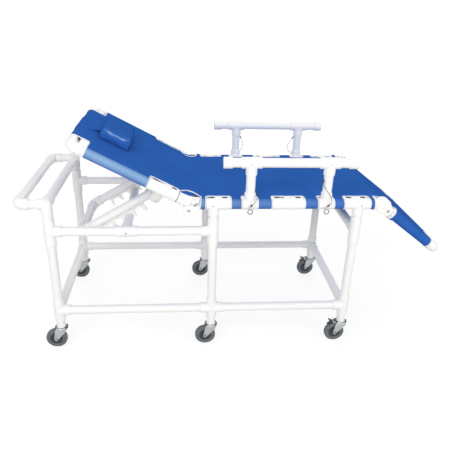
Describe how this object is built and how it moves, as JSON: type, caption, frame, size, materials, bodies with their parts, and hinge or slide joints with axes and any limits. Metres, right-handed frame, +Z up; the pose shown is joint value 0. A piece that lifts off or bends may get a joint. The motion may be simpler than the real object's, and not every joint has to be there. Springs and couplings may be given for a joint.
{
  "type": "transport stretcher",
  "caption": "Wheeled transport stretcher of plastic pipe with a slung deck, a reclining back on a toothed prop, a drop leg section and drop-down side rails.",
  "frame": {"origin": "on the floor, at the middle of the overall length and width", "axes": "+X towards the foot end, +Z up, -Y the near side in the picture"},
  "size_m": [1.9966, 0.7435, 1.0557],
  "materials": {
    "white_pipe": "satin extruded plastic",
    "rack_plastic": "cut sheet plastic",
    "sling_fabric": "open woven vinyl-coated mesh",
    "cushion_vinyl": "soft vinyl over foam",
    "zinc_steel": "zinc plated",
    "bright_steel": "polished stainless",
    "wheel_tyre": "grey moulded tread",
    "cable_cover": "coated cable"
  },
  "bodies": {
    "root": {"head_leg_near": "white_pipe", "mid_leg_near": "white_pipe", "foot_leg_near": "white_pipe", "low_rail_near": "white_pipe", "mid_rail_near": "white_pipe", "deck_rail_near": "white_pipe", "back_hinge_bolt_near": "bright_steel", "foot_hinge_bolt_near": "bright_steel", "head_leg_far": "white_pipe", "mid_leg_far": "white_pipe", "foot_leg_far": "white_pipe", "low_rail_far": "white_pipe", "mid_rail_far": "white_pipe", "deck_rail_far": "white_pipe", "back_hinge_bolt_far": "bright_steel", "foot_hinge_bolt_far": "bright_steel", "low_crossbar_head": "white_pipe", "low_crossbar_foot": "white_pipe", "mid_crossbar_foot": "white_pipe", "prop_rest_bar": "white_pipe", "deck_crossbar": "white_pipe", "push_handle": "white_pipe", "sling_deck": "sling_fabric"},
    "back_section": {"back_frame": "white_pipe", "prop_hanger_bar": "white_pipe", "sling_back": "sling_fabric", "head_cushion": "cushion_vinyl"},
    "prop": {"prop_frame": "white_pipe", "prop_rack_near": "rack_plastic", "prop_rack_far": "rack_plastic"},
    "leg_section": {"leg_frame": "white_pipe", "sling_leg": "sling_fabric"},
    "side_rail_near": {"side_rail_bar_near": "white_pipe", "side_post_head_near": "white_pipe", "lanyard_head_near": "cable_cover", "side_post_foot_near": "white_pipe", "lanyard_foot_near": "cable_cover"},
    "detent_pin_head_near": {"detent_pin_head_near": "bright_steel"},
    "detent_pin_foot_near": {"detent_pin_foot_near": "bright_steel"},
    "side_rail_far": {"side_rail_bar_far": "white_pipe", "side_post_head_far": "white_pipe", "lanyard_head_far": "cable_cover", "side_post_foot_far": "white_pipe", "lanyard_foot_far": "cable_cover"},
    "detent_pin_head_far": {"detent_pin_head_far": "bright_steel"},
    "detent_pin_foot_far": {"detent_pin_foot_far": "bright_steel"},
    "caster_fork_head_near": {"caster_fork_head_near": "zinc_steel"},
    "caster_wheel_head_near": {"caster_wheel_head_near": "wheel_tyre"},
    "caster_fork_head_far": {"caster_fork_head_far": "zinc_steel"},
    "caster_wheel_head_far": {"caster_wheel_head_far": "wheel_tyre"},
    "caster_fork_mid_near": {"caster_fork_mid_near": "zinc_steel"},
    "caster_wheel_mid_near": {"caster_wheel_mid_near": "wheel_tyre"},
    "caster_fork_mid_far": {"caster_fork_mid_far": "zinc_steel"},
    "caster_wheel_mid_far": {"caster_wheel_mid_far": "wheel_tyre"},
    "caster_fork_foot_near": {"caster_fork_foot_near": "zinc_steel"},
    "caster_wheel_foot_near": {"caster_wheel_foot_near": "wheel_tyre"},
    "brake_pedal_near": {"brake_pedal_near": "zinc_steel"},
    "caster_fork_foot_far": {"caster_fork_foot_far": "zinc_steel"},
    "caster_wheel_foot_far": {"caster_wheel_foot_far": "wheel_tyre"},
    "brake_pedal_far": {"brake_pedal_far": "zinc_steel"}
  },
  "joints": [
    {"name": "back_recline", "type": "hinge", "parent": "root", "child": "back_section", "pos_m": [-0.22609, 0, 0.7415], "axis": [0, 1, 0], "range_deg": [0, 43]},
    {"name": "prop_lift", "type": "hinge", "parent": "back_section", "child": "prop", "pos_m": [-0.37807, 0, 0.76854], "axis": [0, 1, 0], "range_deg": [0, 55]},
    {"name": "leg_raise", "type": "hinge", "parent": "root", "child": "leg_section", "pos_m": [0.69171, 0, 0.7375], "axis": [0, -1, 0], "range_deg": [0, 36.5]},
    {"name": "side_rail_near_drop", "type": "hinge", "parent": "root", "child": "side_rail_near", "pos_m": [0.22392, -0.335, 0.7653], "axis": [1, 0, 0], "range_deg": [0, 180]},
    {"name": "detent_pin_head_near_pull", "type": "slide", "parent": "side_rail_near", "child": "detent_pin_head_near", "axis": [0, -1, 0], "range_m": [0, 0.02]},
    {"name": "detent_pin_foot_near_pull", "type": "slide", "parent": "side_rail_near", "child": "detent_pin_foot_near", "axis": [0, -1, 0], "range_m": [0, 0.02]},
    {"name": "side_rail_far_drop", "type": "hinge", "parent": "root", "child": "side_rail_far", "pos_m": [0.22392, 0.335, 0.7653], "axis": [-1, 0, 0], "range_deg": [0, 180]},
    {"name": "detent_pin_head_far_pull", "type": "slide", "parent": "side_rail_far", "child": "detent_pin_head_far", "axis": [0, 1, 0], "range_m": [0, 0.02]},
    {"name": "detent_pin_foot_far_pull", "type": "slide", "parent": "side_rail_far", "child": "detent_pin_foot_far", "axis": [0, 1, 0], "range_m": [0, 0.02]},
    {"name": "caster_swivel_head_near", "type": "hinge", "parent": "root", "child": "caster_fork_head_near", "pos_m": [-0.84808, -0.335, 0.1], "axis": [0, 0, 1], "continuous": true},
    {"name": "caster_roll_head_near", "type": "hinge", "parent": "caster_fork_head_near", "child": "caster_wheel_head_near", "pos_m": [-0.87609, -0.335, 0.0508], "axis": [0, 1, 0], "continuous": true},
    {"name": "caster_swivel_head_far", "type": "hinge", "parent": "root", "child": "caster_fork_head_far", "pos_m": [-0.84808, 0.335, 0.1], "axis": [0, 0, 1], "continuous": true},
    {"name": "caster_roll_head_far", "type": "hinge", "parent": "caster_fork_head_far", "child": "caster_wheel_head_far", "pos_m": [-0.87609, 0.335, 0.0508], "axis": [0, 1, 0], "continuous": true},
    {"name": "caster_swivel_mid_near", "type": "hinge", "parent": "root", "child": "caster_fork_mid_near", "pos_m": [-0.11409, -0.335, 0.1], "axis": [0, 0, 1], "continuous": true},
    {"name": "caster_roll_mid_near", "type": "hinge", "parent": "caster_fork_mid_near", "child": "caster_wheel_mid_near", "pos_m": [-0.14208, -0.335, 0.0508], "axis": [0, 1, 0], "continuous": true},
    {"name": "caster_swivel_mid_far", "type": "hinge", "parent": "root", "child": "caster_fork_mid_far", "pos_m": [-0.11409, 0.335, 0.1], "axis": [0, 0, 1], "continuous": true},
    {"name": "caster_roll_mid_far", "type": "hinge", "parent": "caster_fork_mid_far", "child": "caster_wheel_mid_far", "pos_m": [-0.14208, 0.335, 0.0508], "axis": [0, 1, 0], "continuous": true},
    {"name": "caster_swivel_foot_near", "type": "hinge", "parent": "root", "child": "caster_fork_foot_near", "pos_m": [0.55532, -0.335, 0.1], "axis": [0, 0, 1], "continuous": true},
    {"name": "caster_roll_foot_near", "type": "hinge", "parent": "caster_fork_foot_near", "child": "caster_wheel_foot_near", "pos_m": [0.52731, -0.335, 0.0508], "axis": [0, 1, 0], "continuous": true},
    {"name": "brake_pedal_near_press", "type": "hinge", "parent": "caster_fork_foot_near", "child": "brake_pedal_near", "pos_m": [0.51831, -0.335, 0.1115], "axis": [0, -1, 0], "range_deg": [0, 6]},
    {"name": "caster_swivel_foot_far", "type": "hinge", "parent": "root", "child": "caster_fork_foot_far", "pos_m": [0.55532, 0.335, 0.1], "axis": [0, 0, 1], "continuous": true},
    {"name": "caster_roll_foot_far", "type": "hinge", "parent": "caster_fork_foot_far", "child": "caster_wheel_foot_far", "pos_m": [0.52731, 0.335, 0.0508], "axis": [0, 1, 0], "continuous": true},
    {"name": "brake_pedal_far_press", "type": "hinge", "parent": "caster_fork_foot_far", "child": "brake_pedal_far", "pos_m": [0.51831, 0.335, 0.1115], "axis": [0, -1, 0], "range_deg": [0, 6]}
  ]
}
